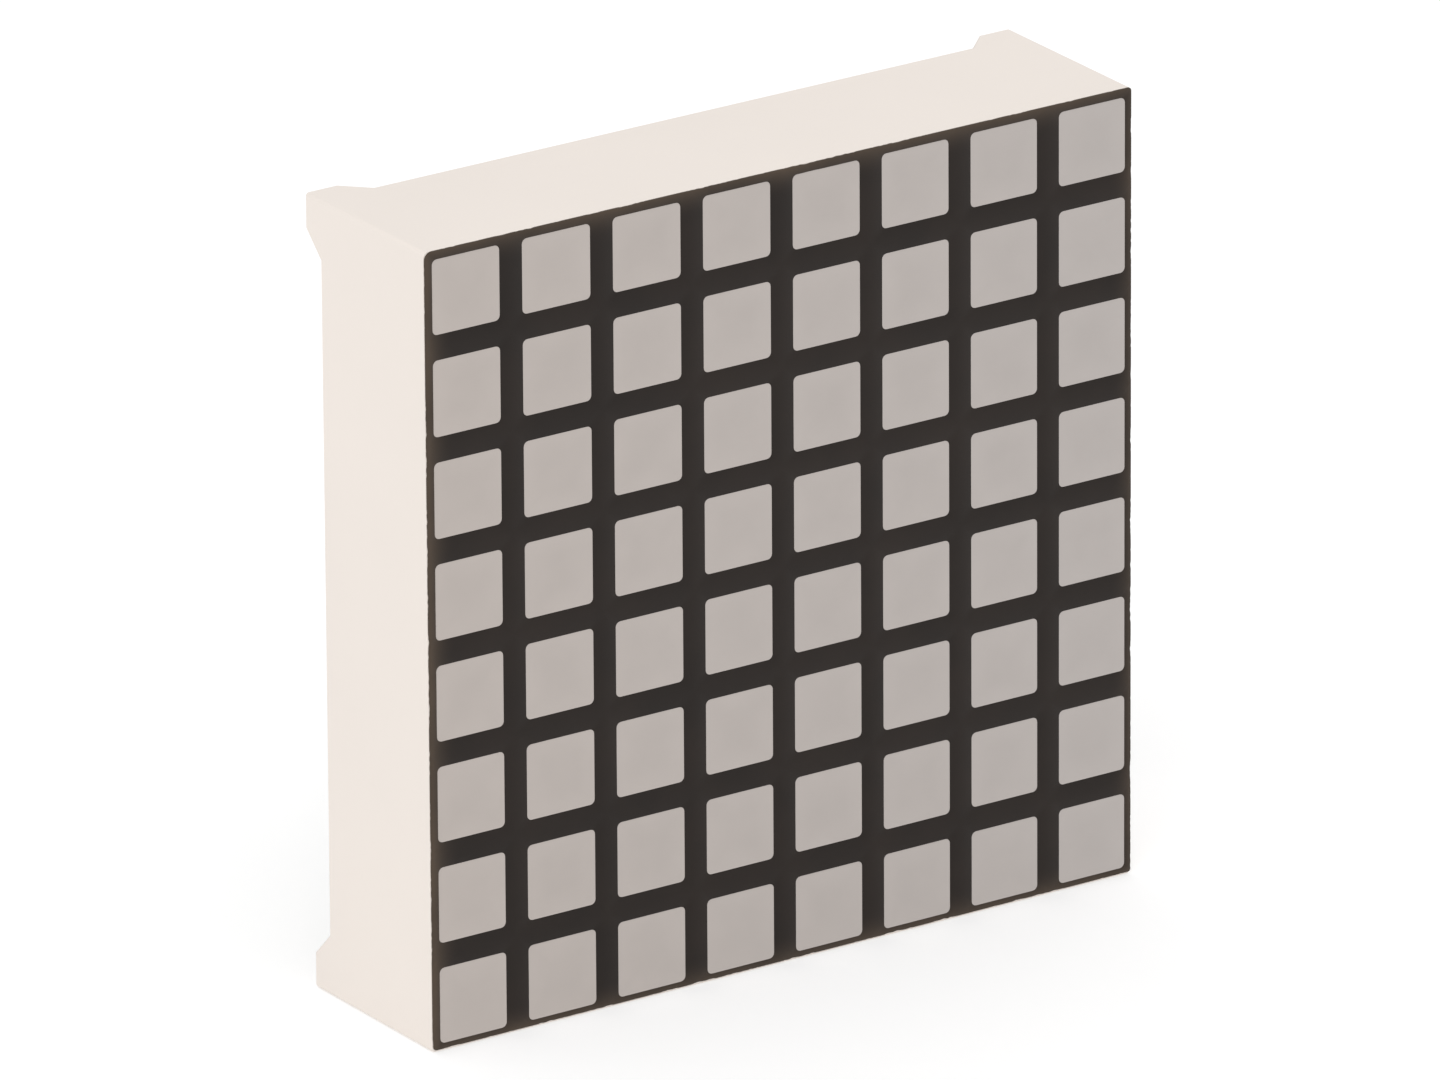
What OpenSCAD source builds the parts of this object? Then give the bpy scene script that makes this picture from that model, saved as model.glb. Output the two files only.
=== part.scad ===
// Square 8 x 8 dot display for a circuit board: a white moulded housing whose front is a
// grid of square light cells, a printed dark face, cast resin, and a board with its chips.
// The display stands on its lower side. X is its width, Z its height, and its face looks
// along -Y. The origin is the centre of the lower side, midway between face and rear edge.

/* [Housing] */
// Width of the face outside the outer dots
face_margin = 0.3; // [0.3:0.05:1]
// Depth of the side walls, from the printed face to their rear edge
wall_depth = 7; // [6.5:0.1:9]
// Thickness of the side walls around the rear recess
wall_t = 0.9; // [0.6:0.05:1]
// Radius of the four long edges of the housing
edge_r = 0.15; // [0.05:0.05:0.4]
// Depth of the light cells through the moulded front
cell_depth = 4.3; // [3.6:0.1:4.6]

/* [Feet] */
// Height of the corner feet behind the walls
foot_h = 1; // [0.6:0.1:2]
// Length of a foot's flat tip along each wall, from the corner
foot_tip = 1.4; // [1.1:0.1:2.4]
// Extra length of a foot along each wall at its root
foot_flare = 1; // [0.2:0.1:2]

/* [Dots] */
// Distance between the centres of neighbouring dots
dot_pitch = 4; // [3.6:0.1:4.4]
// Width and height of a square dot
dot_size = 3; // [2.4:0.05:3.2]
// Radius of a dot's corners
dot_corner_r = 0.2; // [0.1:0.05:0.4]
// Depth of the straight mouth of a light cell
mouth_depth = 0.45; // [0.2:0.05:1]
// Width of a light cell at its narrow rear end
throat_size = 1.8; // [1.6:0.05:2.4]
// Least ledge between a cell's mouth and its funnel, at the rounded corners
cell_ledge = 0.005; // [0.005:0.005:0.05]

/* [Printed face] */
// Thickness of the dark ink
ink_t = 0.05; // [0.02:0.01:0.1]
// Bare margin between the ink and the edge of the face
ink_margin = 0.05; // [0.02:0.01:0.15]
// Radius of the printed area's corners
ink_corner_r = 0.3; // [0.1:0.05:1]

/* [Circuit board] */
// Thickness of the board
board_t = 1; // [0.8:0.1:1.2]
// Gap between the board's edge and the housing walls
board_gap = 0.15; // [0.1:0.01:0.2]
// Height of the bosses that hold the board off the reflector
boss_h = 0.35; // [0.3:0.05:0.5]
// Diameter of these bosses
boss_d = 1.2; // [0.8:0.1:1.6]
// Thickness of the copper on each side of the board
copper_t = 0.035; // [0.02:0.005:0.07]
// Width of a copper track
track_w = 0.2; // [0.12:0.01:0.25]
// Least gap between a track and a pad beside it
track_gap = 0.175; // [0.12:0.005:0.25]
// Diameter of a plated hole that joins the two sides
via_d = 0.3; // [0.2:0.05:0.35]
// Diameter of the copper round a plated hole
via_pad_d = 0.5; // [0.4:0.05:0.6]
// Width of the square pad under a chip
die_pad = 0.5; // [0.4:0.05:0.6]
// Width of the square pad where a bond wire lands
bond_pad = 0.4; // [0.36:0.01:0.44]

/* [Chips and wires] */
// Width of a light-emitting chip
chip_size = 0.3; // [0.2:0.05:0.4]
// Height of a chip
chip_h = 0.2; // [0.1:0.05:0.25]
// Distance from a chip's centre to the landing of its bond wire
bond_reach = 0.7; // [0.65:0.01:0.75]
// Diameter of a bond wire
wire_d = 0.04; // [0.02:0.01:0.06]

/* [Pins] */
// Diameter of a pin
pin_d = 0.5; // [0.4:0.05:0.6]
// Distance between neighbouring pins in a row
pin_pitch = 2.54; // [2.3:0.02:2.78]
// Length of a pin beyond the feet
pin_reach = 4.5; // [2.5:0.1:6]
// Length of the taper at a pin's end
pin_taper = 0.2; // [0.1:0.05:0.5]
// How far the corners of a pin's eight-sided pressed section stand proud of the round pin
press_rise = 0.05; // [0.03:0.01:0.08]
// Diameter of a pin's head
head_d = 1; // [0.95:0.01:1.05]
// Thickness of a pin's head
head_t = 0.2; // [0.1:0.05:0.25]
// Diameter of a plated pin hole
drill_d = 0.9; // [0.88:0.01:0.95]
// Diameter of the copper round a pin hole
pin_pad_d = 1.1; // [1.05:0.01:1.2]

/* [Solder and rear seal] */
// Diameter of a solder joint at the board
solder_d = 1; // [0.9:0.05:1.04]
// Height of a solder joint
solder_h = 0.4; // [0.3:0.05:0.5]
// Thickness of the cast layer over the board's rear
seal_t = 0.75; // [0.6:0.05:1]

/* [Hidden] */
$fn = 32;
// Dots along each side, which is also the number of pins in a row
grid = 8;
// Pins in both rows together
pins = 2 * grid;

// Colours
housing_colour = "#EFE7DF";
ink_colour = "#3A322E";
resin_colour = "#BAB2AB";
board_colour = "#3E7A4C";
copper_colour = "#C8874A";
chip_colour = "#D8C35A";
gold_colour = "#E2B93B";
tin_colour = "#C9CACC";
seal_colour = "#DCD9CF";

// Depths behind the printed face
cell_back = ink_t + cell_depth;
board_front = cell_back + boss_h;
board_back = board_front + board_t;
seal_back = board_back + seal_t;
foot_back = wall_depth + foot_h;
pin_end = foot_back + pin_reach;
front_pads = board_front - copper_t;
rear_pads = board_back + copper_t;
chip_front = front_pads - chip_h;

// Widths that follow from the dots
body_size = (grid - 1) * dot_pitch + dot_size + 2 * face_margin;
recess_size = body_size - 2 * wall_t;
board_size = recess_size - 2 * board_gap;
// The funnel's wide end lies inside the mouth's rounded corners
funnel_size = dot_size - 2 * (dot_corner_r * (1 - sqrt(0.5)) + cell_ledge);
// The rows of pins run midway between the two outer rows of dots
pin_row_gap = (grid - 2) * dot_pitch;
// The pin's pressed section, out to its corners, and its blunt end
press_r = pin_d / 2 + press_rise;
pin_end_d = pin_d / 2;
// Thickness of the solder at the outer edge of a joint
solder_edge = 0.05;

// Pitches from the middle to the bosses, which stand where the walls between cells cross
boss_columns = grid / 2 - 1;
boss_rows = grid / 2 - 2;

// Row 1 is at the top and column 1 at the left, seen from the front
function column_x(i) = (i - (grid + 1) / 2) * dot_pitch;
function row_y(j) = -column_x(j);
// A row's track runs on the side of its chips that faces the middle of the board
track_drop = die_pad / 2 + track_gap + track_w / 2;
function row_track_y(j) = row_y(j) - sign(row_y(j)) * track_drop;
// Where a column's bond wires land: the chips of the middle columns have theirs outside
function landing_x(i) = i > grid / 2
    ? column_x(i) + (i % 2 == 1 ? bond_reach : -bond_reach)
    : -landing_x(grid + 1 - i);
// A column's rear track runs midway between pins, or past the last pin, in half pin rows
lane_slots = [1, 2, 4];
function lane_x(i) = i <= grid / 2
    ? -lane_x(grid + 1 - i)
    : i == grid ? landing_x(i) : lane_slots[i - grid / 2 - 1] * pin_pitch;

// Pins 1 to 8 run leftwards along the upper row, and 9 to 16 rightwards along the lower row
function slot_x(k) = (k - (grid + 1) / 2) * pin_pitch;
function pin_place(n) = n <= grid
    ? [slot_x(grid + 1 - n), pin_row_gap / 2]
    : [slot_x(n - grid), -pin_row_gap / 2];
// The pin slot that each row of dots is wired to, row 1 first
row_slots = [5, 4, 3, 6, 2, 7, 1, 8];
function drop_x(j) = j == 1 ? 0 : slot_x(row_slots[j - 1]);

// Turns a display that lies on its back, with its face at z = 0, into its standing place
module standing() {
    translate([0, -wall_depth / 2, body_size / 2])
        rotate([90, 0, 0])
            children();
}

// A flat outline made solid between two depths behind the printed face
module slab(front, back) {
    translate([0, 0, -back])
        linear_extrude(back - front)
            children();
}

module rounded_square(size, r) {
    square([size, size - 2 * r], center = true);
    square([size - 2 * r, size], center = true);
    for (x = [-1, 1], y = [-1, 1])
        translate([x, y] * (size / 2 - r))
            circle(r);
}

module at_each_dot() {
    for (i = [1:grid], j = [1:grid])
        translate([column_x(i), row_y(j)])
            children();
}

module at_each_pin() {
    for (n = [1:pins])
        translate(pin_place(n))
            children();
}

module dot_outlines() {
    at_each_dot()
        rounded_square(dot_size, dot_corner_r);
}

// Tapered bars across the whole front, one for each column of cells
module funnel_bars() {
    rotate([90, 0, 0])
        linear_extrude(body_size, center = true)
            for (i = [1:grid])
                translate([column_x(i), 0])
                    polygon([
                        [-funnel_size / 2, -mouth_depth],
                        [funnel_size / 2, -mouth_depth],
                        [throat_size / 2, -cell_back],
                        [-throat_size / 2, -cell_back]
                    ]);
}

// All light cells: a straight mouth, then a square funnel where the tapered bars cross
module light_cells() {
    slab(0, mouth_depth)
        dot_outlines();
    intersection() {
        funnel_bars();
        rotate(90)
            funnel_bars();
    }
}

module at_bosses() {
    for (x = [-boss_columns, boss_columns], y = [-boss_rows, boss_rows])
        translate([x, y] * dot_pitch)
            children();
}

// One side of a foot, seen along the wall, with the corner of the housing at x = 0
module foot_profile() {
    linear_extrude(body_size)
        polygon([
            [0, -wall_depth],
            [foot_tip + foot_flare, -wall_depth],
            [foot_tip, -foot_back],
            [0, -foot_back]
        ]);
}

// A corner foot that flares along both walls, before it is trimmed to their thickness
module foot_block() {
    translate([-body_size / 2, -body_size / 2])
        intersection() {
            translate([0, body_size])
                rotate([90, 0, 0])
                    foot_profile();
            rotate([90, 0, 90])
                foot_profile();
        }
}

module housing() {
    color(housing_colour)
        standing() {
            difference() {
                slab(ink_t, wall_depth)
                    rounded_square(body_size, edge_r);
                slab(cell_back, wall_depth)
                    square(recess_size, center = true);
                light_cells();
            }
            slab(cell_back, board_front)
                at_bosses()
                    circle(d = boss_d);
            intersection() {
                for (turn = [0:3])
                    rotate(90 * turn)
                        foot_block();
                slab(wall_depth, foot_back)
                    difference() {
                        rounded_square(body_size, edge_r);
                        square(recess_size, center = true);
                    }
            }
        }
}

module face_mask() {
    color(ink_colour)
        standing()
            slab(0, ink_t)
                difference() {
                    rounded_square(body_size - 2 * ink_margin, ink_corner_r);
                    dot_outlines();
                }
}

module front_copper() {
    slab(front_pads, board_front)
        children();
}

module rear_copper() {
    slab(board_back, rear_pads)
        children();
}

module through_board() {
    slab(board_front, board_back)
        children();
}

// A straight track with round ends
module track(from, to) {
    for (end = [from, to])
        translate(end)
            circle(d = track_w);
    translate(from)
        rotate(atan2(to.y - from.y, to.x - from.x))
            translate([0, -track_w / 2])
                square([norm(to - from), track_w]);
}

module pin_holes() {
    at_each_pin()
        circle(press_r, $fn = 8);
}

// Copper round a pin hole: a pad on each side, joined by the plated wall of the hole
module pin_eye(place) {
    translate(place) {
        front_copper()
            circle(d = pin_pad_d);
        through_board()
            circle(d = drill_d);
        rear_copper()
            circle(d = pin_pad_d);
    }
}

// Copper of one row of dots: a front track with its chip pads, and a rear track to its pin
module row_net(j) {
    y = row_track_y(j);
    toward_chips = sign(row_y(j));
    pin = [slot_x(row_slots[j - 1]), -pin_row_gap / 2];
    crossing = [drop_x(j), y];
    // Where the rear track of row 1 leaves its straight line towards its pin
    turn = [drop_x(j), j == 1 ? pin.y + pin_pad_d : pin.y];
    front_copper() {
        track([column_x(1), y], [column_x(grid), y]);
        translate(crossing)
            circle(d = via_pad_d);
        for (i = [1:grid]) {
            translate([column_x(i), row_y(j)])
                square(die_pad, center = true);
            track([column_x(i), y], [column_x(i), row_y(j)]);
        }
    }
    through_board()
        translate(crossing)
            circle(d = via_d);
    rear_copper() {
        translate(crossing)
            circle(d = via_pad_d);
        track(crossing, turn);
        if (j == 1)
            track(turn, pin);
    }
    pin_eye(pin);
}

// Copper of one column of dots: front landings for its wires, and a rear track to its pin
module column_net(i) {
    x = lane_x(i);
    landing = landing_x(i);
    pin = [slot_x(i), pin_row_gap / 2];
    outer = i == 1 || i == grid;
    passes_a_pin = i == 2 || i == grid - 1;
    over_y = pin.y + pin_pad_d / 2 + 2 * track_gap + track_w / 2;
    front_copper() {
        for (j = [1:grid])
            translate([landing, row_y(j)])
                square(bond_pad, center = true);
        if (outer)
            track([x, pin.y], pin);
    }
    through_board() {
        for (j = [1:grid])
            translate([landing, row_y(j)])
                circle(d = via_d);
        if (outer)
            translate([x, pin.y])
                circle(d = via_d);
    }
    rear_copper() {
        for (j = [1:grid]) {
            translate([landing, row_y(j)])
                circle(d = via_pad_d);
            if (!outer)
                track([landing, row_y(j)], [x, row_y(j)]);
        }
        track([x, row_y(1)], [x, row_y(grid)]);
        if (passes_a_pin) {
            track([x, over_y], [pin.x, over_y]);
            track([pin.x, over_y], pin);
        } else if (!outer) {
            track([x, pin.y], pin);
        }
    }
    pin_eye(pin);
}

module all_nets() {
    for (k = [1:grid]) {
        row_net(k);
        column_net(k);
    }
}

// The space that the pins' pressed sections take, from their heads to the rear surface
module pressed_sections() {
    slab(front_pads, seal_back)
        pin_holes();
}

module row_tracks() {
    color(copper_colour)
        standing()
            difference() {
                for (j = [1:grid])
                    row_net(j);
                pressed_sections();
            }
}

module column_tracks() {
    color(copper_colour)
        standing()
            difference() {
                for (i = [1:grid])
                    column_net(i);
                pressed_sections();
            }
}

module circuit_board() {
    color(board_colour)
        standing()
            through_board()
                difference() {
                    square(board_size, center = true);
                    at_each_pin()
                        circle(d = drill_d);
                    for (i = [1:grid], j = [1:grid])
                        translate([landing_x(i), row_y(j)])
                            circle(d = via_d);
                    for (j = [1:grid])
                        translate([drop_x(j), row_track_y(j)])
                            circle(d = via_d);
                    for (i = [1, grid])
                        translate([lane_x(i), pin_row_gap / 2])
                            circle(d = via_d);
                }
}

module chips(row) {
    slab(chip_front, front_pads)
        for (i = [1:grid])
            translate([column_x(i), row_y(row)])
                square(chip_size, center = true);
}

// Each wire rises from the front of its chip in a half circle and comes down on its landing
module wires(row) {
    for (i = [1:grid]) {
        translate([(column_x(i) + landing_x(i)) / 2, row_y(row), -chip_front])
            rotate([90, 0, 0])
                rotate_extrude(angle = 180)
                    translate([bond_reach / 2, 0])
                        circle(d = wire_d);
        translate([landing_x(i), row_y(row)])
            slab(chip_front, front_pads)
                circle(d = wire_d);
    }
}

module led_chips(row) {
    color(chip_colour)
        standing()
            chips(row);
}

module bond_wires(row) {
    color(gold_colour)
        standing()
            wires(row);
}

module pin_heads() {
    slab(front_pads - head_t, front_pads)
        at_each_pin()
            circle(d = head_d);
}

module pin(n) {
    color(tin_colour)
        standing()
            translate(pin_place(n)) {
                slab(front_pads - head_t, front_pads)
                    circle(d = head_d);
                slab(front_pads, seal_back)
                    circle(press_r, $fn = 8);
                slab(seal_back, pin_end - pin_taper)
                    circle(d = pin_d);
                translate([0, 0, -pin_end])
                    cylinder(h = pin_taper, d1 = pin_end_d, d2 = pin_d);
            }
}

// Solder up to the middle of every pin, hollowed in a quarter circle that ends in a thin edge
module solder_fillets() {
    hollow_r = solder_h - solder_edge;
    at_each_pin()
        translate([0, 0, -rear_pads])
            mirror([0, 0, 1])
                rotate_extrude()
                    difference() {
                        square([solder_d / 2, solder_h]);
                        translate([press_r + solder_edge + hollow_r, solder_h])
                            circle(hollow_r);
                    }
}

module solder_joints() {
    color(tin_colour)
        standing()
            difference() {
                solder_fillets();
                pressed_sections();
            }
}

// Cast clear of everything that it closes round, so that it meets each piece face to face
module resin_fill() {
    color(resin_colour)
        standing()
            difference() {
                union() {
                    light_cells();
                    slab(cell_back, board_front)
                        square(recess_size, center = true);
                }
                slab(cell_back, board_front)
                    at_bosses()
                        circle(d = boss_d);
                all_nets();
                pin_heads();
                for (row = [1:grid]) {
                    chips(row);
                    wires(row);
                }
            }
}

module back_seal() {
    color(seal_colour)
        standing()
            difference() {
                slab(board_front, seal_back)
                    square(recess_size, center = true);
                through_board()
                    square(board_size, center = true);
                all_nets();
                solder_fillets();
                pressed_sections();
            }
}

housing();
face_mask();
resin_fill();
circuit_board();
row_tracks();
column_tracks();
solder_joints();
back_seal();
for (row = [1:grid]) {
    led_chips(row);
    bond_wires(row);
}
for (n = [1:pins]) {
    pin(n);
}
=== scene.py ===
"""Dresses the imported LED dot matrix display: housing, print, cast dots, poured back, pins and board."""

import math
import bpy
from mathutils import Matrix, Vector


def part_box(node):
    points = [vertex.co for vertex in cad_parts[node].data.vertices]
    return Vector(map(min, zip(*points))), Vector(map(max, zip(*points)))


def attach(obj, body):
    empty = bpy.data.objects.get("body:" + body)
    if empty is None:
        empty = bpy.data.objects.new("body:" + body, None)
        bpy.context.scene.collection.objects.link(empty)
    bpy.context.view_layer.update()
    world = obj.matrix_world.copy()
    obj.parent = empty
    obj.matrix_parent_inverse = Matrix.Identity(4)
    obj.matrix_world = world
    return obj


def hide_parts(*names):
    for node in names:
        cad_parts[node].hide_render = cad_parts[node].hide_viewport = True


bl_info = {
    "name": "LED dot matrix display",
    "version": (1, 0, 0),
    "blender": (4, 5, 0),
    "location": "View3D > Sidebar > LED matrix",
    "description": "Builds the visible finish of an 8 by 8 dot matrix display around its packed solids",
    "category": "Object",
}

import bmesh
import bpy
from bpy.props import FloatProperty, FloatVectorProperty, PointerProperty
from mathutils import Matrix, Vector, noise

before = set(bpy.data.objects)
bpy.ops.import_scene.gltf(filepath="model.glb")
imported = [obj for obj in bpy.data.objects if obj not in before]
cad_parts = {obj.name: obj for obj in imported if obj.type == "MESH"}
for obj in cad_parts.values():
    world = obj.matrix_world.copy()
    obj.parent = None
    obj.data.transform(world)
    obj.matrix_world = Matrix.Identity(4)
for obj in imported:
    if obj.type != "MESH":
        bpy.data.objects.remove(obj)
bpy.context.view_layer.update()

MM = 0.001
BODY = "root"
GRID = 8

FACE_LOW, FACE_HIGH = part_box("face_mask")
HOUSING_LOW, HOUSING_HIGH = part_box("housing")
SEAL_LOW, SEAL_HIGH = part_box("back_seal")
RESIN_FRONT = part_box("resin_fill")[0].y
CHIP_LOW, CHIP_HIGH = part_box("led_chips_row_1")
MIDDLE_Z = (HOUSING_LOW.z + HOUSING_HIGH.z) / 2
# The chips of a row stand one pitch apart, so a row's reach gives the pitch of the dots
CHIP_SIZE = CHIP_HIGH.z - CHIP_LOW.z
DOT_PITCH = (CHIP_HIGH.x - CHIP_LOW.x - CHIP_SIZE) / (GRID - 1)
# From the middle of the face to the middle of an outer row or column of dots
FIRST_DOT = (GRID - 1) / 2 * DOT_PITCH

# Two points closer than this are taken to lie in the same place
TINY = 0.001 * MM
# How near to an outer side of the housing an edge counts as one of its outer edges
OUTER_ZONE = 0.2 * MM

# A solid's triangles are joined where they turn less than the first angle, and a piece shades smoothly where
# it turns less than the second
FLAT_ANGLE = math.radians(0.5)
SMOOTH_ANGLE = math.radians(35)
# How far an edge has to turn to be rounded, on the housing and on the print
HOUSING_CORNER = math.radians(30)
PRINT_CORNER = math.radians(60)

# The two waves that make up the unevenness of a printed edge: how long each is, and its share
SLOW_WAVE, SLOW_SHARE = 0.8 * MM, 0.6
FINE_WAVE, FINE_SHARE = 0.2 * MM, 0.4
# The edge of an opening stays clean where the unevenness is below this
CLEAN_EDGE = 0.15
# In corner radii: how far before the end of an opening its corner is sure to have begun
WHOLE_CORNER = 1.2

# The rims of the resin and of the poured back fall away from their edge in steps of equal width: the share of
# the height in each
RIM_STEPS = (0.4, 0.6)
MENISCUS_STEPS = (0.5, 0.3, 0.2)

# The band along the print's border that is made paler, for the thinning ink and a painted glow of the plastic
# through it, how steeply the paler tone sets in, and how far the middle between the left and the right band
# lies off the middle of the face
GLOW_BAND = 1.2 * MM
GLOW_STEEPNESS = 2.5
GLOW_SHIFT = 0.15 * MM

# A colour Mix node has its factor at input 0 and its colours at 6 and 7, and gives its result at output 2
MIX_FACTOR, MIX_FIRST, MIX_SECOND, MIX_RESULT = 0, 6, 7, 2

FLOOR_REACH = 3.0
# A hair below the housing, so that the two faces never fight for the same place
FLOOR_DROP = 0.02 * MM
ROOM_LIGHT = 0.85
SOFTBOX_WIDTH = 0.6
# Name, place and watts of each softbox
SOFTBOXES = (("key_softbox", Vector((-0.45, -0.35, 0.78)), 2.4),
             ("fill_softbox", Vector((0.45, -0.6, 0.45)), 0.5))

# The camera stands to the left of the face and above it, and looks at a place near the face's middle
CAMERA_LEFT = math.radians(33.862)
CAMERA_ABOVE = math.radians(20.889)
CAMERA_ROLL = math.radians(-0.351)
CAMERA_DISTANCE = 796.52 * MM
CAMERA_AIM = Vector((-1.737, 1.626, 1.003)) * MM
CAMERA_SENSOR = 36
CAMERA_LENS = 535.06
CAMERA_NEAR, CAMERA_FAR = 0.01, 20


def linear(hex_colour):
    """Turns an sRGB hex colour into the linear RGBA that shaders read."""
    channels = [int(hex_colour[i:i + 2], 16) / 255 for i in (1, 3, 5)]
    return tuple(c / 12.92 if c <= 0.04045 else ((c + 0.055) / 1.055) ** 2.4 for c in channels) + (1.0,)


def per_metre(size_mm):
    """The pattern scale that gives features of this size in millimetres."""
    return 1000 / size_mm


def length(name, description, default_mm):
    """A length that the user may change."""
    return FloatProperty(name=name, description=description, default=default_mm * MM, min=0, precision=6,
                         unit="LENGTH")


def colour(name, description, default):
    """A colour that the user may change."""
    return FloatVectorProperty(name=name, description=description, default=linear(default), size=4, min=0,
                               max=1, subtype="COLOR")


class MatrixSizes(bpy.types.PropertyGroup):
    """Sizes of the visible details that the solids leave plain."""

    housing_edge: length("Housing edge", "Radius of the moulded edges at the back and on the feet", 0.1)
    front_edge: length("Front edge", "Radius of the edge round the printed face", 0.02)
    print_left: length("Left margin", "Bare plastic to the left of the print", 0.03)
    print_right: length("Right margin", "Bare plastic to the right of the print", 0.004)
    print_top: length("Upper margin", "Bare plastic above the print", 0.004)
    print_bottom: length("Lower margin", "Bare plastic below the print", 0.07)
    print_shift: length("Print shift", "How far the print's left and upper borders lap over the dots", 0.05)
    opening: length("Dot opening", "Width of an opening in the printed face", 3.0)
    opening_corner: length("Opening corner", "Corner radius of an opening in the printed face", 0.2)
    ink_edge: length("Ink edge", "Rounding where the printed film ends", 0.012)
    ink_wave: length("Ink wave", "How far the print wanders round the openings", 0.015)
    border_wave: length("Border wave", "How far the print's border wanders", 0.08)
    first_corner: length("First corner", "Radius of the print's upper left corner", 0.34)
    second_corner: length("Second corner", "Radius of the print's upper right corner", 0.14)
    lower_corner: length("Lower corners", "Radius of the print's two lower corners", 0.12)
    rim_width: length("Rim width", "Width of the raised rim where resin meets the print", 0.08)
    rim_height: length("Rim height", "Height of the raised rim where resin meets the print", 0.012)
    resin_step: length("Resin step", "How far the resin lies behind the surface of the print", 0.005)
    seal_rim_width: length("Seal rim width", "How far the poured back climbs towards walls and pins", 0.5)
    seal_rim_height: length("Seal rim height", "How high the poured back climbs at walls and pins", 0.15)
    seal_bond: length("Seal bond", "How deep the poured back keys into what it touches", 0.01)


class MatrixColours(bpy.types.PropertyGroup):
    """Colours of the materials."""

    housing: colour("Housing", "Moulded plastic", "#E7DED6")
    ink: colour("Ink", "Printed film on the face", "#1F1712")
    # Paler colour of the print's border: partly thinner ink, partly a painted glow of the plastic behind it
    thin_ink_and_painted_glow: colour("Thin ink", "Printed film where it thins out at the border", "#493D32")
    resin: colour("Resin", "Diffusing resin in the dots", "#ABA4A0")
    warm_resin: colour("Warm resin", "Diffusing resin in the dots at the left", "#AFA6A0")
    seal: colour("Seal", "Poured resin on the back", "#E9E6DC")
    laminate: colour("Laminate", "Solder mask on the circuit board", "#2F6B3F")
    copper: colour("Copper", "Tracks", "#C8874A")
    tin: colour("Tin", "Tinned pins", "#D6D5D2")
    solder: colour("Solder", "Solder joints", "#BFC1C4")
    chip: colour("Chip", "LED chips", "#D8C35A")
    gold: colour("Gold", "Bond wires", "#E2B93B")
    floor: colour("Floor", "Studio floor", "#D8D8D8")


def add_node(tree, kind, inputs=None, **settings):
    """Adds one node, sets its properties, and sets or links its inputs."""
    node = tree.nodes.new(kind)
    for key, value in settings.items():
        setattr(node, key, value)
    for key, value in (inputs or {}).items():
        if isinstance(value, bpy.types.NodeSocket):
            tree.links.new(value, node.inputs[key])
        else:
            node.inputs[key].default_value = value
    return node


def new_material(name):
    """A material with nothing but its output node, and its object coordinates."""
    material = bpy.data.materials.new(name)
    material.use_nodes = True
    tree = material.node_tree
    tree.nodes.clear()
    output = add_node(tree, "ShaderNodeOutputMaterial")
    coordinates = add_node(tree, "ShaderNodeTexCoord")
    return material, tree, output, coordinates.outputs["Object"]


def moulded_plastic(colours):
    """Glass-filled polycarbonate, injection moulded: warm white with a fine matt spark-eroded skin."""
    material, tree, output, place = new_material("moulded_polycarbonate")
    cloud = add_node(tree, "ShaderNodeTexNoise", {"Vector": place, "Scale": per_metre(6), "Detail": 3.0})
    tone = add_node(tree, "ShaderNodeMapRange", {
        "Value": cloud.outputs["Fac"], "From Min": 0.3, "From Max": 0.7, "To Min": 0.985, "To Max": 1.0})
    warm = add_node(tree, "ShaderNodeHueSaturation", {
        "Color": tuple(colours.housing), "Value": tone.outputs["Result"]})
    grain = add_node(tree, "ShaderNodeTexNoise", {"Vector": place, "Scale": per_metre(0.12), "Detail": 4.0})
    bump = add_node(tree, "ShaderNodeBump", {
        "Height": grain.outputs["Fac"], "Strength": 0.12, "Distance": 0.01 * MM})
    gloss = add_node(tree, "ShaderNodeMapRange", {
        "Value": grain.outputs["Fac"], "To Min": 0.42, "To Max": 0.58})
    shader = add_node(tree, "ShaderNodeBsdfPrincipled", {
        "Base Color": warm.outputs["Color"], "Roughness": gloss.outputs["Result"], "IOR": 1.58,
        "Normal": bump.outputs["Normal"]})
    tree.links.new(shader.outputs["BSDF"], output.inputs["Surface"])
    return material


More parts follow.
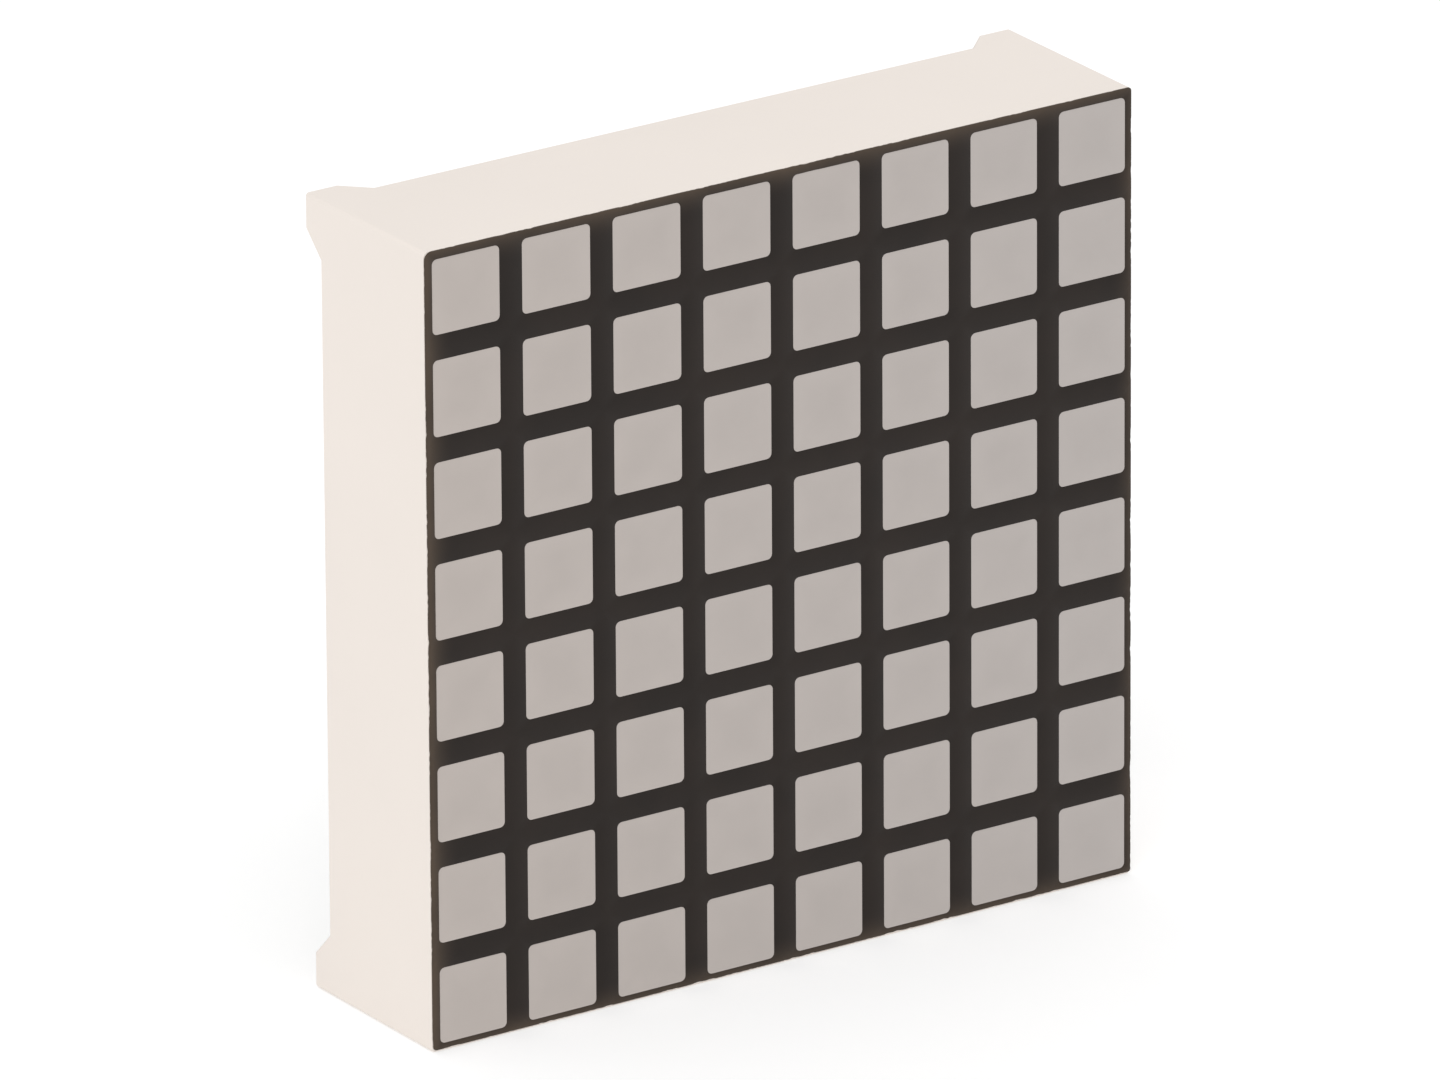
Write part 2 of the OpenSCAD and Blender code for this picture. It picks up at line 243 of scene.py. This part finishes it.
def printed_ink(colours):
    """Screen-printed epoxy ink: a thin brown-black film, paler at its border, where it thins and a painted
    glow of the plastic shows through.
    """
    material, tree, output, place = new_material("screen_printed_ink")
    # The film is thinnest at the left, so the middle of the painted glow is taken a little to the right
    from_middle = add_node(tree, "ShaderNodeVectorMath", {0: place, 1: (GLOW_SHIFT, 0, MIDDLE_Z)},
                           operation="SUBTRACT")
    reach = add_node(tree, "ShaderNodeVectorMath", {0: from_middle.outputs["Vector"]}, operation="ABSOLUTE")
    sides = add_node(tree, "ShaderNodeSeparateXYZ", {"Vector": reach.outputs["Vector"]})
    outward = add_node(tree, "ShaderNodeMath", {0: sides.outputs["X"], 1: sides.outputs["Z"]},
                       operation="MAXIMUM")
    near_border = add_node(tree, "ShaderNodeMapRange", {
        "Value": outward.outputs["Value"], "From Min": HOUSING_HIGH.x - GLOW_BAND,
        "From Max": HOUSING_HIGH.x})
    glow = add_node(tree, "ShaderNodeMath", {0: near_border.outputs["Result"], 1: GLOW_STEEPNESS},
                    operation="POWER")
    # Painted glow: near the edge of the face the ink turns to the paler border colour, partly for the
    # thinning film and partly for light from the plastic shining through it
    film = add_node(tree, "ShaderNodeMix", {
        MIX_FACTOR: glow.outputs["Value"], MIX_FIRST: tuple(colours.ink),
        MIX_SECOND: tuple(colours.thin_ink_and_painted_glow)}, data_type="RGBA")
    cloud = add_node(tree, "ShaderNodeTexNoise", {"Vector": place, "Scale": per_metre(2.5), "Detail": 4.0})
    tone = add_node(tree, "ShaderNodeMapRange", {
        "Value": cloud.outputs["Fac"], "From Min": 0.3, "From Max": 0.7, "To Min": 0.8, "To Max": 1.15})
    toned = add_node(tree, "ShaderNodeHueSaturation", {
        "Color": film.outputs[MIX_RESULT], "Value": tone.outputs["Result"]})
    grain = add_node(tree, "ShaderNodeTexNoise", {"Vector": place, "Scale": per_metre(0.1), "Detail": 3.0})
    bump = add_node(tree, "ShaderNodeBump", {
        "Height": grain.outputs["Fac"], "Strength": 0.15, "Distance": 0.01 * MM})
    shader = add_node(tree, "ShaderNodeBsdfPrincipled", {
        "Base Color": toned.outputs["Color"], "Roughness": 0.42, "IOR": 1.5, "Specular IOR Level": 0.22,
        "Normal": bump.outputs["Normal"]})
    tree.links.new(shader.outputs["BSDF"], output.inputs["Surface"])
    return material


def cast_resin(colours, dot_reach):
    """Diffusing epoxy, cast: grey and milky under a glossy skin, with a painted glow at each dot's edge from
    the white cell walls.

    A dot reaches dot_reach pitches from its middle to each side.
    """
    material, tree, output, place = new_material("cast_diffusing_epoxy")
    across = add_node(tree, "ShaderNodeSeparateXYZ", {"Vector": place})
    # The dots run from a slightly lighter, warmer tint at the left to the plain resin colour at the right
    along_row = add_node(tree, "ShaderNodeMapRange", {
        "Value": across.outputs["X"], "From Min": HOUSING_LOW.x, "From Max": HOUSING_HIGH.x})
    tint_across_face = add_node(tree, "ShaderNodeMix", {
        MIX_FACTOR: along_row.outputs["Result"], MIX_FIRST: tuple(colours.warm_resin),
        MIX_SECOND: tuple(colours.resin)}, data_type="RGBA")
    from_middle = add_node(tree, "ShaderNodeVectorMath", {0: place, 1: (0, 0, MIDDLE_Z)},
                           operation="SUBTRACT")
    in_pitches = add_node(tree, "ShaderNodeVectorMath", {
        0: from_middle.outputs["Vector"], "Scale": 1 / DOT_PITCH}, operation="SCALE")
    in_dot = add_node(tree, "ShaderNodeVectorMath", {0: in_pitches.outputs["Vector"]}, operation="FRACTION")
    from_centre = add_node(tree, "ShaderNodeVectorMath", {0: in_dot.outputs["Vector"], 1: (0.5, 0.5, 0.5)},
                           operation="SUBTRACT")
    reach = add_node(tree, "ShaderNodeVectorMath", {0: from_centre.outputs["Vector"]}, operation="ABSOLUTE")
    sides = add_node(tree, "ShaderNodeSeparateXYZ", {"Vector": reach.outputs["Vector"]})
    outward = add_node(tree, "ShaderNodeMath", {0: sides.outputs["X"], 1: sides.outputs["Z"]},
                       operation="MAXIMUM")
    # Painted glow: each dot is made lighter towards its edge, all round, for light from the white cell walls
    # seen through the resin
    painted_wall_glow = add_node(tree, "ShaderNodeMapRange", {
        "Value": outward.outputs["Value"], "From Min": 0.1, "From Max": dot_reach},
        interpolation_type="SMOOTHSTEP")
    cloud = add_node(tree, "ShaderNodeTexNoise", {"Vector": place, "Scale": per_metre(1.6), "Detail": 2.0})
    tone = add_node(tree, "ShaderNodeMapRange", {
        "Value": cloud.outputs["Fac"], "From Min": 0.3, "From Max": 0.7, "To Min": 0.975, "To Max": 1.01})
    light = add_node(tree, "ShaderNodeMath", {
        0: painted_wall_glow.outputs["Result"], 1: 0.035, 2: tone.outputs["Result"]}, operation="MULTIPLY_ADD")
    milk_and_painted_glow = add_node(tree, "ShaderNodeHueSaturation", {
        "Color": tint_across_face.outputs[MIX_RESULT], "Value": light.outputs["Value"]})
    swell = add_node(tree, "ShaderNodeTexNoise", {"Vector": place, "Scale": per_metre(0.9), "Detail": 1.0})
    bump = add_node(tree, "ShaderNodeBump", {
        "Height": swell.outputs["Fac"], "Strength": 0.25, "Distance": 0.02 * MM})
    shader = add_node(tree, "ShaderNodeBsdfPrincipled", {
        "Base Color": milk_and_painted_glow.outputs["Color"], "Roughness": 0.28, "IOR": 1.53,
        "Normal": bump.outputs["Normal"]})
    tree.links.new(shader.outputs["BSDF"], output.inputs["Surface"])
    return material


def poured_seal(colours):
    """Casting epoxy, poured: milky, so the board shows through it as a soft green."""
    material, tree, output, place = new_material("poured_casting_epoxy")
    cloud = add_node(tree, "ShaderNodeTexNoise", {"Vector": place, "Scale": per_metre(3), "Detail": 3.0})
    bump = add_node(tree, "ShaderNodeBump", {
        "Height": cloud.outputs["Fac"], "Strength": 0.3, "Distance": 0.05 * MM})
    shader = add_node(tree, "ShaderNodeBsdfPrincipled", {
        "Base Color": tuple(colours.seal), "Roughness": 0.15, "IOR": 1.53, "Transmission Weight": 0.75,
        "Normal": bump.outputs["Normal"]})
    tree.links.new(shader.outputs["BSDF"], output.inputs["Surface"])
    return material


def metal_skin(name, base, rough):
    """A bare metal skin whose gloss varies finely. It serves for the chips too, which nothing shows."""
    material, tree, output, place = new_material(name)
    marks = add_node(tree, "ShaderNodeTexNoise", {"Vector": place, "Scale": per_metre(0.3), "Detail": 4.0})
    gloss = add_node(tree, "ShaderNodeMapRange", {
        "Value": marks.outputs["Fac"], "To Min": rough - 0.08, "To Max": rough + 0.08})
    shader = add_node(tree, "ShaderNodeBsdfPrincipled", {
        "Base Color": tuple(base), "Metallic": 1.0, "Roughness": gloss.outputs["Result"]})
    tree.links.new(shader.outputs["BSDF"], output.inputs["Surface"])
    return material


def laminate_mask(colours):
    """Glass-epoxy laminate under solder mask: deep green, faintly mottled."""
    material, tree, output, place = new_material("glass_epoxy_laminate")
    cloud = add_node(tree, "ShaderNodeTexNoise", {"Vector": place, "Scale": per_metre(0.6), "Detail": 2.0})
    tone = add_node(tree, "ShaderNodeMapRange", {
        "Value": cloud.outputs["Fac"], "To Min": 0.85, "To Max": 1.1})
    mask = add_node(tree, "ShaderNodeHueSaturation", {
        "Color": tuple(colours.laminate), "Value": tone.outputs["Result"]})
    shader = add_node(tree, "ShaderNodeBsdfPrincipled", {
        "Base Color": mask.outputs["Color"], "Roughness": 0.35})
    tree.links.new(shader.outputs["BSDF"], output.inputs["Surface"])
    return material


def studio_floor(colours):
    """Opal acrylic sheet, lit from below: pale and even, with only a faint shadow."""
    material, tree, output, place = new_material("opal_acrylic")
    cloud = add_node(tree, "ShaderNodeTexNoise", {"Vector": place, "Scale": per_metre(1.0), "Detail": 2.0})
    tone = add_node(tree, "ShaderNodeMapRange", {
        "Value": cloud.outputs["Fac"], "To Min": 0.995, "To Max": 1.0})
    sheet = add_node(tree, "ShaderNodeHueSaturation", {
        "Color": tuple(colours.floor), "Value": tone.outputs["Result"]})
    shader = add_node(tree, "ShaderNodeBsdfPrincipled", {
        "Base Color": sheet.outputs["Color"], "Roughness": 0.9, "Emission Color": (1, 1, 1, 1),
        "Emission Strength": 0.36})
    tree.links.new(shader.outputs["BSDF"], output.inputs["Surface"])
    return material


def solid_copy(node):
    """A CAD solid as an editable mesh: doubles merged, and the triangles of each flat face joined."""
    bm = bmesh.new()
    bm.from_mesh(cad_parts[node].data)
    bmesh.ops.remove_doubles(bm, verts=bm.verts, dist=TINY / 2)
    bmesh.ops.dissolve_limit(bm, angle_limit=FLAT_ANGLE, use_dissolve_boundaries=False, verts=bm.verts,
                             edges=bm.edges, delimit=set())
    return bm


def round_off(bm, parts, radius, segments, affect="EDGES"):
    """Rounds edges or vertices with this radius."""
    bmesh.ops.bevel(bm, geom=parts, offset=radius, offset_type="OFFSET", segments=segments, profile=0.5,
                    affect=affect, clamp_overlap=True, material=-1)


def vertices_in(parts):
    """The vertices among the vertices, edges and faces that an operator gives back."""
    return [part for part in parts if isinstance(part, bmesh.types.BMVert)]


def add_piece(bm, name, node, material):
    """Turns a bmesh into the piece that stands for a CAD node."""
    mesh = bpy.data.meshes.new(name)
    bm.to_mesh(mesh)
    bm.free()
    mesh.materials.clear()
    mesh.materials.append(material)
    for polygon in mesh.polygons:
        polygon.material_index = 0
    mesh.shade_smooth()
    mesh.set_sharp_from_angle(angle=SMOOTH_ANGLE)
    piece = bpy.data.objects.new(name, mesh)
    bpy.context.scene.collection.objects.link(piece)
    normals = piece.modifiers.new("Even shading", "WEIGHTED_NORMAL")
    normals.keep_sharp = True
    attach(piece, BODY)
    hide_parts(node)


def dress(node, material):
    """Gives a CAD node its material."""
    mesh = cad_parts[node].data
    mesh.materials.clear()
    mesh.materials.append(material)


class MATRIX_OT_housing(bpy.types.Operator):
    """Moulded housing with softened edges."""

    bl_idname = "led_matrix.housing"
    bl_label = "Mould the housing"

    def execute(self, context):
        sizes = context.scene.matrix_sizes
        bm = solid_copy("housing")
        side = HOUSING_HIGH.x - OUTER_ZONE
        bottom = HOUSING_LOW.z + OUTER_ZONE
        top = HOUSING_HIGH.z - OUTER_ZONE
        front = HOUSING_LOW.y + OUTER_ZONE

        def outside(vert):
            return abs(vert.co.x) > side or vert.co.z < bottom or vert.co.z > top

        def outer_corner(edge):
            return (len(edge.link_faces) == 2 and edge.is_convex
                    and edge.calc_face_angle(0) > HOUSING_CORNER and all(outside(v) for v in edge.verts))

        back = [e for e in bm.edges if outer_corner(e) and all(v.co.y > front for v in e.verts)]
        round_off(bm, back, sizes.housing_edge, segments=3)
        rim = [e for e in bm.edges if outer_corner(e) and all(v.co.y < front for v in e.verts)]
        round_off(bm, rim, sizes.front_edge, segments=2)
        plastic = moulded_plastic(context.scene.matrix_colours)
        add_piece(bm, "moulded_housing", "housing", plastic)
        return {"FINISHED"}


def print_cell(sizes):
    """One cell of the print, flat: a square frame round an opening with round corners."""
    bm = bmesh.new()
    half = sizes.opening / 2
    bmesh.ops.create_grid(bm, x_segments=1, y_segments=1, size=half)
    round_off(bm, bm.verts[:], sizes.opening_corner, segments=4, affect="VERTICES")
    straight = [e for e in bm.edges if e.calc_length() > half]
    bmesh.ops.subdivide_edges(bm, edges=straight, cuts=9)
    opening = bm.faces[:]
    frame_edge = bmesh.ops.extrude_edge_only(bm, edges=bm.edges[:])["geom"]
    for vert in vertices_in(frame_edge):
        vert.co *= DOT_PITCH / 2 / max(abs(vert.co.x), abs(vert.co.y))
    bmesh.ops.delete(bm, geom=opening, context="FACES_ONLY")
    return bm


def lay_cells(bm):
    """Repeats one cell over the whole face. The cells touch, and are joined when the print is trimmed."""
    cell = bm.verts[:] + bm.edges[:] + bm.faces[:]
    for column in range(GRID):
        for row in range(GRID):
            if column or row:
                copy = bmesh.ops.duplicate(bm, geom=cell)["geom"]
                bmesh.ops.translate(bm, verts=vertices_in(copy), vec=(column * DOT_PITCH, row * DOT_PITCH, 0))
    bmesh.ops.translate(bm, verts=bm.verts, vec=(-FIRST_DOT, -FIRST_DOT, 0))


def trim_print(bm, sizes):
    """Trims the sheet to the print's four borders and rounds its corners. Returns its outline's vertices."""
    low = Vector((HOUSING_LOW.x + sizes.print_left, HOUSING_LOW.x + sizes.print_bottom))
    high = Vector((HOUSING_HIGH.x - sizes.print_right, HOUSING_HIGH.x - sizes.print_top))
    for vert in bm.verts:
        vert.co.x = max(low.x, min(high.x, vert.co.x))
        vert.co.y = max(low.y, min(high.y, vert.co.y))
    bmesh.ops.remove_doubles(bm, verts=bm.verts, dist=TINY)

    def on_border(vert):
        gaps = (vert.co.x - low.x, high.x - vert.co.x, vert.co.y - low.y, high.y - vert.co.y)
        return min(gaps) < TINY

    outline = [e for e in bm.edges if e.is_boundary and all(on_border(v) for v in e.verts)]
    bmesh.ops.subdivide_edges(bm, edges=outline, cuts=5)
    outline = [v for v in bm.verts if v.is_boundary and on_border(v)]
    corners = ((low.x, high.y, sizes.first_corner), (high.x, high.y, sizes.second_corner),
               (low.x, low.y, sizes.lower_corner), (high.x, low.y, sizes.lower_corner))
    for x, y, radius in corners:
        centre = Vector((x - math.copysign(radius, x), y - math.copysign(radius, y), 0))
        for vert in outline:
            arm = vert.co - centre
            if arm.x * x > 0 and arm.y * y > 0:
                vert.co = centre + arm.normalized() * radius
    return outline


def unevenness(place):
    """How far a printed edge wanders at this place, from -1 to 1: a slow swing with a finer ripple on it."""
    return noise.noise(place / SLOW_WAVE) * SLOW_SHARE + noise.noise(place / FINE_WAVE) * FINE_SHARE


def roughen_print(bm, outline, sizes):
    """Gives the print's border and openings their small waver, and laps it over the left and upper dots."""
    lap_limit = FIRST_DOT + sizes.opening / 2 - sizes.opening_corner * WHOLE_CORNER
    for vert in bm.verts:
        if not vert.is_boundary:
            continue
        if vert in outline:
            inward = -Vector((vert.co.x, vert.co.y, 0)).normalized()
            vert.co += inward * sizes.border_wave * max(0, unevenness(vert.co))
            continue
        nearest = [(round((c + FIRST_DOT) / DOT_PITCH)) * DOT_PITCH - FIRST_DOT for c in vert.co.xy]
        outward = (vert.co - Vector((*nearest, 0))).normalized()
        vert.co += outward * sizes.ink_wave * max(0, unevenness(vert.co) - CLEAN_EDGE)
        if vert.co.x < -lap_limit:
            vert.co.x += sizes.print_shift
        if vert.co.y > lap_limit:
            vert.co.y -= sizes.print_shift


class MATRIX_OT_face_print(bpy.types.Operator):
    """Printed face: a thin film of ink round the dots, with the small unevenness of a print."""

    bl_idname = "led_matrix.face_print"
    bl_label = "Print the face"

    def execute(self, context):
        sizes = context.scene.matrix_sizes
        bm = print_cell(sizes)
        lay_cells(bm)
        roughen_print(bm, set(trim_print(bm, sizes)), sizes)
        # The sheet is drawn lying down, so it is stood up at the back of the film, then given its thickness
        bmesh.ops.rotate(bm, verts=bm.verts, cent=(0, 0, 0), matrix=Matrix.Rotation(math.radians(90), 3, "X"))
        bmesh.ops.translate(bm, verts=bm.verts, vec=(0, FACE_HIGH.y, MIDDLE_Z))
        front = bmesh.ops.extrude_face_region(bm, geom=bm.faces[:])["geom"]
        bmesh.ops.translate(bm, verts=vertices_in(front), vec=(0, FACE_LOW.y - FACE_HIGH.y, 0))
        bmesh.ops.recalc_face_normals(bm, faces=bm.faces)
        lip = [e for e in bm.edges if all(v.co.y < FACE_LOW.y + TINY for v in e.verts)
               and e.calc_face_angle(0) > PRINT_CORNER]
        round_off(bm, lip, sizes.ink_edge, segments=2)
        add_piece(bm, "printed_face", "face_mask", printed_ink(context.scene.matrix_colours))
        return {"FINISHED"}


class MATRIX_OT_dots(bpy.types.Operator):
    """Cast resin: flush with the print, with a fine rim where it meets the ink."""

    bl_idname = "led_matrix.dots"
    bl_label = "Cast the dots"

    def execute(self, context):
        sizes = context.scene.matrix_sizes
        bm = solid_copy("resin_fill")
        dots = [f for f in bm.faces if all(v.co.y < RESIN_FRONT + TINY for v in f.verts)]
        if len(dots) != GRID * GRID:
            raise RuntimeError(f"the resin should have {GRID * GRID} dots, and has {len(dots)}")
        bmesh.ops.translate(bm, verts=list({v for f in dots for v in f.verts}), vec=(0, sizes.resin_step, 0))
        for share in RIM_STEPS:
            bmesh.ops.inset_individual(bm, faces=dots, thickness=sizes.rim_width / len(RIM_STEPS),
                                       depth=-sizes.rim_height * share, use_even_offset=True)
        resin = cast_resin(context.scene.matrix_colours, sizes.opening / 2 / DOT_PITCH)
        add_piece(bm, "cast_dots", "resin_fill", resin)
        return {"FINISHED"}


class MATRIX_OT_back_seal(bpy.types.Operator):
    """Poured back: its surface climbs a little at the walls and round the pins."""

    bl_idname = "led_matrix.back_seal"
    bl_label = "Pour the back"

    def execute(self, context):
        sizes = context.scene.matrix_sizes
        bm = solid_copy("back_seal")
        side = SEAL_HIGH.x - TINY
        top = SEAL_HIGH.z - TINY
        bottom = SEAL_LOW.z + TINY
        rear = SEAL_HIGH.y - TINY
        # The faces that lie on walls and board go a little way into them, so that no light slips in between
        for vert in bm.verts:
            if abs(vert.co.x) > side:
                vert.co.x += math.copysign(sizes.seal_bond, vert.co.x)
            if vert.co.z > top or vert.co.z < bottom:
                vert.co.z += math.copysign(sizes.seal_bond, vert.co.z - MIDDLE_Z)
            if vert.co.y < rear:
                vert.co.y -= sizes.seal_bond
        surface = [f for f in bm.faces if all(v.co.y > rear for v in f.verts)]
        for share in MENISCUS_STEPS:
            bmesh.ops.inset_region(bm, faces=surface, thickness=sizes.seal_rim_width / len(MENISCUS_STEPS),
                                   depth=-sizes.seal_rim_height * share, use_boundary=True,
                                   use_even_offset=True)
        add_piece(bm, "poured_back", "back_seal", poured_seal(context.scene.matrix_colours))
        return {"FINISHED"}


class MATRIX_OT_pins(bpy.types.Operator):
    """Tinned pins and their solder joints."""

    bl_idname = "led_matrix.pins"
    bl_label = "Finish the pins"

    def execute(self, context):
        colours = context.scene.matrix_colours
        # Copper wire, drawn and tinned: bright, with a soft sheen
        tin = metal_skin("tinned_copper_wire", colours.tin, 0.3)
        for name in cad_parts:
            if name.startswith("pin_"):
                dress(name, tin)
        # Solder that has melted and set: a little duller and greyer than the tin
        dress("solder_joints", metal_skin("reflowed_solder", colours.solder, 0.35))
        return {"FINISHED"}


class MATRIX_OT_board(bpy.types.Operator):
    """Circuit board, tracks, chips and bond wires."""

    bl_idname = "led_matrix.board"
    bl_label = "Finish the board"

    def execute(self, context):
        colours = context.scene.matrix_colours
        dress("circuit_board", laminate_mask(colours))
        # Copper foil, etched: reddish, with a satin sheen
        copper = metal_skin("etched_copper", colours.copper, 0.35)
        for name in ("row_tracks", "column_tracks"):
            dress(name, copper)
        chip = metal_skin("semiconductor_chip", colours.chip, 0.4)
        # Gold wire, drawn: the smoothest of the metals
        gold = metal_skin("drawn_gold_wire", colours.gold, 0.25)
        for row in range(1, GRID + 1):
            dress(f"led_chips_row_{row}", chip)
            dress(f"bond_wires_row_{row}", gold)
        return {"FINISHED"}


def lay_floor(scene):
    """A wide sheet just below the housing."""
    bm = bmesh.new()
    bmesh.ops.create_grid(bm, x_segments=1, y_segments=1, size=FLOOR_REACH,
                          matrix=Matrix.Translation((0, 0, HOUSING_LOW.z - FLOOR_DROP)))
    mesh = bpy.data.meshes.new("studio_floor")
    bm.to_mesh(mesh)
    bm.free()
    mesh.materials.append(studio_floor(scene.matrix_colours))
    floor = bpy.data.objects.new("studio_floor", mesh)
    scene.collection.objects.link(floor)


def light_room(scene):
    """An even white room, with two softboxes that look at the housing's middle."""
    world = bpy.data.worlds.new("soft_room")
    scene.world = world
    world.use_nodes = True
    world.node_tree.nodes.clear()
    sky = add_node(world.node_tree, "ShaderNodeBackground", {"Color": (1, 1, 1, 1), "Strength": ROOM_LIGHT})
    out = add_node(world.node_tree, "ShaderNodeOutputWorld")
    world.node_tree.links.new(sky.outputs["Background"], out.inputs["Surface"])

    aim = Vector((0, 0, MIDDLE_Z))
    for name, place, watts in SOFTBOXES:
        lamp = bpy.data.lights.new(name, "AREA")
        lamp.shape = "SQUARE"
        lamp.size = SOFTBOX_WIDTH
        lamp.energy = watts
        light = bpy.data.objects.new(name, lamp)
        light.location = place
        light.rotation_euler = (aim - place).to_track_quat("-Z", "Y").to_euler()
        scene.collection.objects.link(light)


def set_camera(scene):
    """A long lens that looks at the face from the left and above."""
    camera = bpy.data.objects.new("camera", bpy.data.cameras.new("camera"))
    camera.data.sensor_width = CAMERA_SENSOR
    camera.data.lens = CAMERA_LENS
    camera.data.clip_start = CAMERA_NEAR
    camera.data.clip_end = CAMERA_FAR
    face_middle = Vector((0, FACE_LOW.y, MIDDLE_Z))
    # A camera looks straight down until it is turned, so a level one is turned up by 90 degrees
    turn = (Matrix.Rotation(-CAMERA_LEFT, 4, "Z") @ Matrix.Rotation(math.radians(90) - CAMERA_ABOVE, 4, "X")
            @ Matrix.Rotation(CAMERA_ROLL, 4, "Z"))
    camera.matrix_world = (Matrix.Translation(face_middle + CAMERA_AIM) @ turn
                           @ Matrix.Translation((0, 0, CAMERA_DISTANCE)))
    scene.collection.objects.link(camera)
    scene.camera = camera
    scene.view_settings.view_transform = "Standard"


class MATRIX_OT_stage(bpy.types.Operator):
    """Pale floor, soft light and the camera."""

    bl_idname = "led_matrix.stage"
    bl_label = "Set the stage"

    def execute(self, context):
        lay_floor(context.scene)
        light_room(context.scene)
        set_camera(context.scene)
        return {"FINISHED"}


class MATRIX_PT_panel(bpy.types.Panel):
    """Buttons that build each piece."""

    bl_idname = "MATRIX_PT_panel"
    bl_label = "LED dot matrix"
    bl_space_type = "VIEW_3D"
    bl_region_type = "UI"
    bl_category = "LED matrix"

    def draw(self, context):
        for operator in OPERATORS:
            self.layout.operator(operator.bl_idname)


OPERATORS = (MATRIX_OT_housing, MATRIX_OT_face_print, MATRIX_OT_dots, MATRIX_OT_back_seal, MATRIX_OT_pins,
             MATRIX_OT_board, MATRIX_OT_stage)
CLASSES = (MatrixSizes, MatrixColours) + OPERATORS + (MATRIX_PT_panel,)


def register():
    for cls in CLASSES:
        bpy.utils.register_class(cls)
    bpy.types.Scene.matrix_sizes = PointerProperty(type=MatrixSizes)
    bpy.types.Scene.matrix_colours = PointerProperty(type=MatrixColours)


def unregister():
    del bpy.types.Scene.matrix_colours
    del bpy.types.Scene.matrix_sizes
    for cls in reversed(CLASSES):
        bpy.utils.unregister_class(cls)


def main():
    register()
    bpy.ops.led_matrix.housing()
    bpy.ops.led_matrix.face_print()
    bpy.ops.led_matrix.dots()
    bpy.ops.led_matrix.back_seal()
    bpy.ops.led_matrix.pins()
    bpy.ops.led_matrix.board()
    bpy.ops.led_matrix.stage()


if __name__ == "__main__":
    main()
